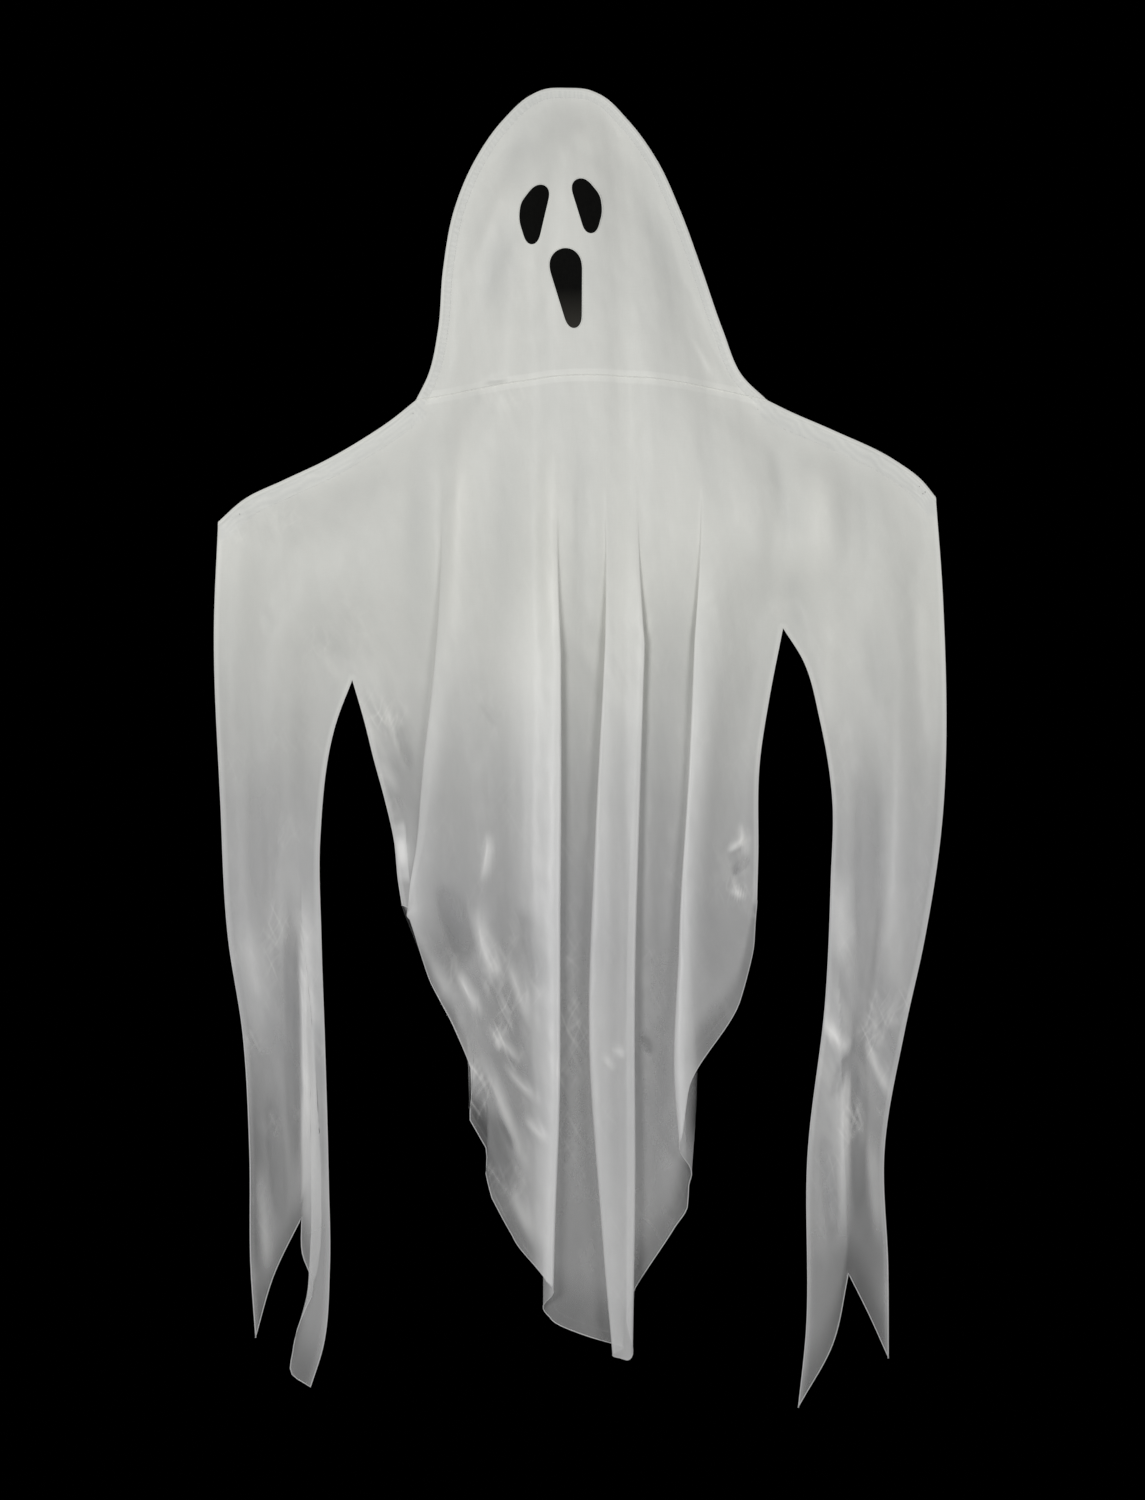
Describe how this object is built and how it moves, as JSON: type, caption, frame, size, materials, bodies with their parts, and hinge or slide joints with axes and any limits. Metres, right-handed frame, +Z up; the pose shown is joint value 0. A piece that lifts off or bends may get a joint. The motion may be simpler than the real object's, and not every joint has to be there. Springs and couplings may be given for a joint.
{
  "type": "hanging fabric ghost",
  "caption": "Life-size ghost to hang up: a hooded gown of sheer white cloth with long forked sleeves and an uneven hem, sewn round a wire hoop and a wire shoulder bow.",
  "frame": {"origin": "the hang point, on the crown of the hood", "axes": "+Z up, the face looks along -Y, +X to the viewer's right as the face is seen from the front"},
  "size_m": [1.1852, 0.1377, 2.1352],
  "materials": {
    "sheer_cloth": "thin shiny white cloth that shows the dark through a single layer",
    "black_cloth": "dull black cloth behind the face openings",
    "steel_wire": "drawn steel wire, bare"
  },
  "bodies": {
    "root": {"hood_front": "sheer_cloth", "hood_back": "sheer_cloth", "face_backing": "black_cloth", "body_front": "sheer_cloth", "body_back": "sheer_cloth", "hood_hoop": "steel_wire", "shoulder_bow": "steel_wire"}
  },
  "joints": []
}
